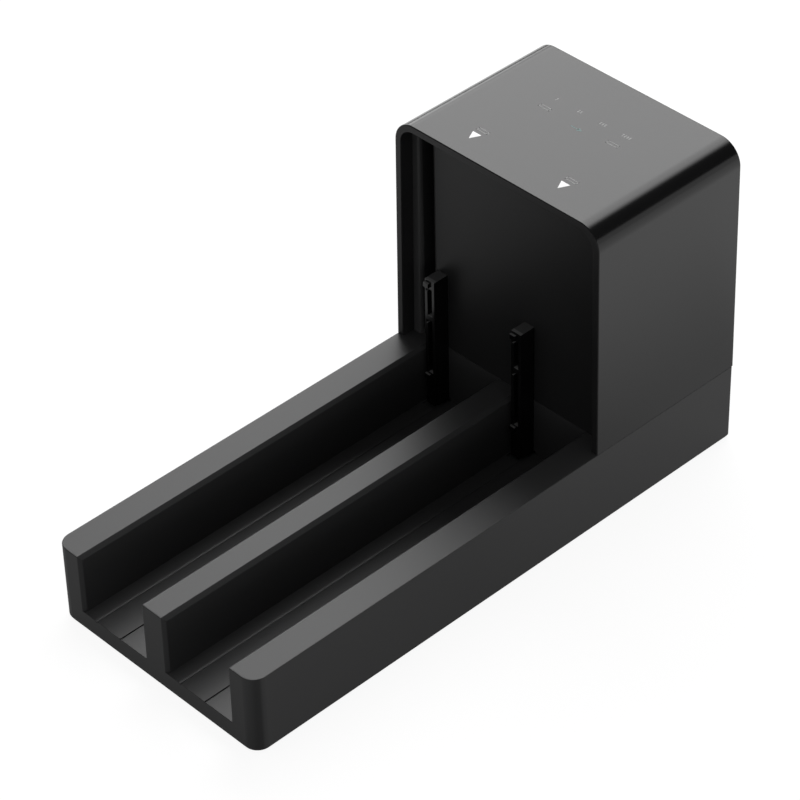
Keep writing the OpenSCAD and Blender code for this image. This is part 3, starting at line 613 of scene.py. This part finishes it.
def make_usb():
    """The square USB socket: folded shell, blue tongues and their contact strips."""
    lip = SHELL_HIGH.y
    dress("usb_shell", "usb_can", (
        (0.12, lambda p: p.y > lip - 0.05),
        (0.40, lambda p: p.y < lip - 0.05),
    ))
    dress("usb_insert", "usb_tongues", ((0.15, lambda p: p.y > TONGUE_LOW.y + 6),))
    middle = (SHELL_LOW.x + SHELL_HIGH.x) / 2
    height = SHELL_HIGH.z - SHELL_LOW.z
    tip = TONGUE_HIGH.y - 0.5
    strip = rounded_block("usb_contact_strips", (0, 0, 0), (1.0, 7.0, 0.12), 0.04)
    levels = [SHELL_LOW.z + height * share for share in (0.27, 0.5)]
    spread(strip, [(middle + x, tip - 3.5, z) for z in levels for x in (-1.25, 1.25)])
    on_dock(strip, "contact_brass")
    fine = rounded_block("usb_fast_contact_strips", (0, 0, 0), (0.45, 6.0, 0.1), 0.03)
    narrow = [(middle + x, tip - 3.0, SHELL_LOW.z + height * 0.78) for x in (-1.8, -0.9, 0, 0.9, 1.8)]
    spread(fine, narrow)
    on_dock(fine, "contact_brass")


def rounded_block(name, middle, size, width, upright_only=False):
    """A block in mm with its edges rounded, or only its four upright ones, its place in its mesh."""
    bpy.ops.object.select_all(action="DESELECT")
    bpy.ops.mesh.primitive_cube_add(size=1, location=Vector(middle) * MM, scale=Vector(size) * MM)
    piece = bpy.context.object
    piece.name = name
    settle(piece)
    mesh = edit(piece)
    for e in mesh.edges:
        start, end = (v.co for v in e.verts)
        e.select = not upright_only or abs(start.z - end.z) > size[2] * MM / 2
    bmesh.update_edit_mesh(piece.data)
    bpy.ops.mesh.bevel(offset=width * MM, offset_type="OFFSET", segments=2, affect="EDGES")
    bpy.ops.object.mode_set(mode="OBJECT")
    return smooth(piece)


def spread(piece, places):
    """Moves a piece that is made at the origin to the first place and joins a copy at each other."""
    copies = []
    for place in places[1:]:
        copy = bpy.data.objects.new(piece.name, piece.data.copy())
        bpy.context.collection.objects.link(copy)
        copy.location = Vector(place) * MM
        copies.append(copy)
    piece.location = Vector(places[0]) * MM
    only(piece)
    for copy in copies:
        copy.select_set(True)
    bpy.ops.object.join()
    return settle(piece)


def join(first, *others):
    """Joins pieces that have the same material into the first."""
    only(first)
    for other in others:
        other.select_set(True)
    bpy.ops.object.join()
    return first


def make_power_inlet():
    dress("power_inlet", "inlet_nose", ((0.30, lambda p: p.y > INLET_HIGH.y - 0.05),), segments=3)
    dress("inlet_pin", "inlet_post", ((0.45, lambda p: p.y > INLET_HIGH.y - 1.5),), segments=3)


def make_switch():
    """The rocker in its frame, with a bar for on and a ring for off."""
    dress("switch_housing", "switch_frame", (
        (0.30, lambda p: p.y > FRAME_HIGH.y - 0.05),
    ), segments=3)
    dress("power_rocker", "rocker_key", (
        (0.35, lambda p: p.z > ROCKER_LOW.z + 0.9 and p.z < ROCKER_HIGH.z - 0.9),
        (0.30, lambda p: p.y > ROCKER_HIGH.y - 3 and p.z > ROCKER_LOW.z + 0.7 and p.z < ROCKER_HIGH.z - 0.7),
    ), segments=3, body="rocker")
    bar = rounded_block("rocker_on_bar", (0, 0, 0), (0.4, 2.4, MARK_THICK), 0.08, upright_only=True)
    on_rocker(bar, 1)
    bpy.ops.object.select_all(action="DESELECT")
    bpy.ops.mesh.primitive_cylinder_add(vertices=48, radius=1.2 * MM, depth=MARK_THICK * MM,
                                        location=(0, 0, 0))
    ring = bpy.context.object
    ring.name = "rocker_off_ring"
    mesh = edit(ring, "FACE")
    for face in mesh.faces:
        face.select = abs(face.normal.z) > 0.9
    bmesh.update_edit_mesh(ring.data)
    bpy.ops.mesh.inset(thickness=0.4 * MM)
    bpy.ops.mesh.bridge_edge_loops()
    bpy.ops.object.mode_set(mode="OBJECT")
    on_rocker(smooth(ring), -1)


def on_rocker(mark, side):
    """Sets a mark made flat at the origin into one half of the rocker, at 1 the half that is up."""
    out = ROCKER_FACE_OUT + MARK_PROUD - MARK_THICK / 2
    half = Matrix.Translation(Vector((side * ROCKER_MARK_X, out, 0)) * MM)
    slope = Matrix.Rotation(side * ROCKER_TILT, 4, "Z")
    upright = Matrix.Rotation(-math.pi / 2, 4, "X")
    rest = Matrix.Translation(ROCKER_PIVOT * MM) @ Matrix.Rotation(-ROCKER_TILT, 4, "Z")
    mark.matrix_world = rest @ half @ slope @ upright
    settle(mark)
    on_dock(mark, "print_white", "rocker")


def make_button():
    """The clone button with a shallow dish for the finger."""
    button = solid_copy("clone_button", "clone_key")
    mesh = edit(button, "FACE")
    for face in mesh.faces:
        face.select = face.normal.y > 0.99 and face.calc_center_median().y / MM > BUTTON_HIGH.y - 0.05
    bmesh.update_edit_mesh(button.data)
    bpy.ops.mesh.inset(thickness=0.9 * MM)
    bpy.ops.transform.translate(value=(0, -0.18 * MM, 0))
    bpy.ops.object.mode_set(mode="OBJECT")
    round_edges(button, ((0.35, lambda p: p.y > BUTTON_HIGH.y - 0.3),), segments=3)
    on_dock(button, SLOT_OF["clone_button"], "button")
    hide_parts("clone_button")


# Marks printed on the top

ARROW_X = 18.6
ARROW_TIP = 47.8
ARROW_BASE = 51.4
ARROW_WIDTH = 3.6
DRIVE_SIGNS = ((-13.6, 75.8), (14.7, 75.8), (-18.2, 53.6), (19.0, 53.6))
STEP_SIGNS_X = (-14.0, -4.3, 5.4, 15.1)
STEP_SIGNS_Y = 81.5
STEP_BAR_PITCH = 0.95
COPY_SIGN_Y = 74.2


def print_bar(name, x, y, width, depth):
    middle = (x, y, Z_TOP + MARK_PROUD - MARK_THICK / 2)
    return rounded_block(name, middle, (width, depth, MARK_THICK), 0.05, upright_only=True)


def print_triangle(name, x, y_tip, y_base, width):
    """A solid triangle that points to the front, with its corners softened."""
    bpy.ops.object.select_all(action="DESELECT")
    bpy.ops.mesh.primitive_cylinder_add(vertices=3, radius=1 * MM, depth=MARK_THICK * MM,
                                        location=(0, 0, 0), rotation=(0, 0, math.pi))
    piece = bpy.context.object
    piece.name = name
    settle(piece)
    xs = [v.co.x for v in piece.data.vertices]
    ys = [v.co.y for v in piece.data.vertices]
    mesh = edit(piece)
    for e in mesh.edges:
        e.select = abs(e.verts[0].co.z - e.verts[1].co.z) > MARK_THICK * MM / 2
    bmesh.update_edit_mesh(piece.data)
    bpy.ops.mesh.bevel(offset=0.06 * MM, offset_type="OFFSET", segments=2, affect="EDGES")
    bpy.ops.object.mode_set(mode="OBJECT")
    stretch = (y_base - y_tip) * MM / (max(ys) - min(ys))
    piece.scale = (width * MM / (max(xs) - min(xs)), stretch, 1)
    piece.location = (x * MM, y_tip * MM - min(ys) * stretch, (Z_TOP + MARK_PROUD - MARK_THICK / 2) * MM)
    settle(piece)
    return smooth(piece)


def drive_outline(name, x, y, width, depth):
    """A small upright drive seen from above: four bars round a window."""
    line = 0.3
    sides = [print_bar(name, x, y + s * (depth - line) / 2, width, line) for s in (-1, 1)]
    sides += [print_bar(name, x + s * (width - line) / 2, y, line, depth) for s in (-1, 1)]
    return join(*sides)


def make_marks():
    """White arrowheads over the channels, and faint signs where the lights shine through."""
    arrowheads = [print_triangle("channel_arrows", x, ARROW_TIP, ARROW_BASE, ARROW_WIDTH)
                  for x in (-ARROW_X, ARROW_X)]
    on_dock(join(*arrowheads), "print_white")
    signs = [drive_outline("light_signs", x, y, 4.6, 1.5) for x, y in DRIVE_SIGNS]
    for step, x in enumerate(STEP_SIGNS_X):
        for bar in range(step + 1):
            place = x + (bar - step / 2) * STEP_BAR_PITCH
            signs.append(print_bar("light_signs", place, STEP_SIGNS_Y, 0.5, 1.3))
    on_dock(join(*signs), "print_grey")
    shaft = print_bar("copy_sign", 0.4, COPY_SIGN_Y, 3.2, 0.4)
    head = print_triangle("copy_sign", 0, -0.9, 0.9, 1.8)
    head.rotation_euler = (0, 0, math.pi / 2)
    head.location = (2.6 * MM, COPY_SIGN_Y * MM, 0)
    settle(head)
    on_dock(join(shaft, head), "print_teal")


# Camera, lamps and ground

# The camera's turns in degrees, its place in metres and its focal length in millimetres
CAMERA_TURNS = (46.869, 38.990, -1.476)
CAMERA_PLACE = (0.58806, -0.55184, 0.70203)
CAMERA_LENS = 153.667


def make_camera():
    """Stands and turns as the photograph's straight edges ask."""
    azimuth, height, roll = (math.radians(a) for a in CAMERA_TURNS)
    back = Vector((math.sin(azimuth) * math.cos(height), -math.cos(azimuth) * math.cos(height),
                   math.sin(height)))
    right = Vector((math.cos(azimuth), math.sin(azimuth), 0))
    up = back.cross(right)
    turned_right = right * math.cos(roll) + up * math.sin(roll)
    turned_up = up * math.cos(roll) - right * math.sin(roll)
    lens = bpy.data.cameras.new("camera")
    lens.sensor_width = 36
    lens.lens = CAMERA_LENS
    lens.clip_start = 0.05
    lens.clip_end = 50
    camera = bpy.data.objects.new("camera", lens)
    bpy.context.collection.objects.link(camera)
    place = Matrix((turned_right, turned_up, back)).transposed().to_4x4()
    place.translation = CAMERA_PLACE
    camera.matrix_world = place
    bpy.context.scene.camera = camera


def softbox(name, azimuth, height, distance, width, depth, radiance, fades):
    """A lamp that looks at the dock, its long side across the dock, and fades towards its edges.

    Azimuth 0 is ahead of the front and 90 at its right. The fades are shares of the width at the
    lamp's left and right, and the share by which its upper half is dimmer."""
    a, h = math.radians(azimuth), math.radians(height)
    away = Vector((math.sin(a) * math.cos(h), -math.cos(a) * math.cos(h), math.sin(h)))
    across = (Vector((1, 0, 0)) - away * away.x).normalized()
    lamp = bpy.data.lights.new(name, "AREA")
    lamp.shape = "RECTANGLE"
    lamp.size = width
    lamp.size_y = depth
    lamp.energy = math.pi * width * depth
    lamp.use_nodes = True
    g = Graph(lamp.node_tree)
    u, v = g.parts(g.node("ShaderNodeNewGeometry").outputs["Parametric"])[:2]
    left, right, upper = fades
    fade = u.ramp(0, left) * u.ramp(1, 1 - right) * v.ramp(0, 0.15) * v.ramp(1, 0.85)
    fade = fade * (1.1 - v.ramp(0.3, 0.6) * upper)
    glow = g.node("ShaderNodeEmission", sockets={"Color": (1, 1, 1), "Strength": fade * radiance})
    end = g.node("ShaderNodeOutputLight")
    g.tree.links.new(glow.outputs[0], end.inputs["Surface"])
    obj = bpy.data.objects.new(name, lamp)
    bpy.context.collection.objects.link(obj)
    place = Matrix((across, away.cross(across), away)).transposed().to_4x4()
    place.translation = Vector((0, 0, 0.06)) + away * distance
    obj.matrix_world = place


def make_ground():
    """A pale floor, plain white to the eye, that keeps the dock's shadow.

    Its reflections carry painted shade: they dim towards the dock, as a table top does round a dark thing,
    and brighten towards the back."""
    bpy.ops.object.select_all(action="DESELECT")
    bpy.ops.mesh.primitive_grid_add(x_subdivisions=2, y_subdivisions=2, size=24, location=(0, 0, 0))
    floor = bpy.context.object
    floor.name = "floor"
    g = material("floor_white")
    path = g.node("ShaderNodeLightPath")
    direct = Value(g, path.outputs["Is Camera Ray"])
    mirrored = Value(g, path.outputs["Is Glossy Ray"]).high(Value(g, path.outputs["Is Transmission Ray"]))
    x, y, z = g.parts(g.place())
    beside = x.math("ABSOLUTE") - HALF_WIDTH * MM
    ahead = y.math("ABSOLUTE") - Y_BACK * MM
    # Painted shade in the floor's reflections: its glow is dimmer near the dock, brighter towards the back
    # and a little brighter in front.
    clear = beside.high(ahead).ramp(0.02, 0.11) * 0.60 + y.ramp(-0.02, 0.13) * 0.25
    clear = clear + y.ramp(-0.102, -0.122) * 0.06
    lit = g.node("ShaderNodeBsdfDiffuse", sockets={"Color": (0.10, 0.10, 0.10)})
    glow = g.node("ShaderNodeEmission", sockets={
        "Color": (1, 1, 1), "Strength": direct * 0.91 + mirrored * (clear + 0.34)})
    both = g.node("ShaderNodeAddShader")
    g.tree.links.new(lit.outputs[0], both.inputs[0])
    g.tree.links.new(glow.outputs[0], both.inputs[1])
    end = g.node("ShaderNodeOutputMaterial")
    g.tree.links.new(both.outputs[0], end.inputs["Surface"])
    floor.data.materials.append(FINISHES["floor_white"])


def make_world():
    """Even fill light, and a low pale wall along the right that the dock's sides reflect."""
    world = bpy.data.worlds.new("studio")
    bpy.context.scene.world = world
    world.use_nodes = True
    g = Graph(world.node_tree)
    x, y, z = g.parts(g.node("ShaderNodeTexCoord").outputs["Generated"])
    wall = z.ramp(0.29, 0.27) * x.ramp(0.2, 0.4)
    path = g.node("ShaderNodeLightPath")
    fill = Value(g, path.outputs["Is Diffuse Ray"])
    glow = g.node("ShaderNodeBackground", sockets={
        "Color": (1, 1, 1), "Strength": fill * 0.5 + wall * 0.95 + 0.04})
    end = g.node("ShaderNodeOutputWorld")
    g.tree.links.new(glow.outputs[0], end.inputs["Surface"])


make_finishes()
make_camera()
make_ground()
make_world()
softbox("back_left", 208, 49, 1.3, 1.5, 1.05, 5.4, (0.12, 0.34, 0.22))
softbox("low_left", 243, 14, 1.5, 1.0, 0.6, 3.3, (0.2, 0.2, 0))
make_tray()
make_tower()
make_panels()
make_feet_and_screws()
make_sockets()
make_usb()
make_power_inlet()
make_switch()
make_button()
make_marks()
for node, solid in NODES.items():
    paint(solid, SLOT_OF[node])

bpy.context.scene.view_settings.view_transform = "Standard"
bpy.context.view_layer.update()
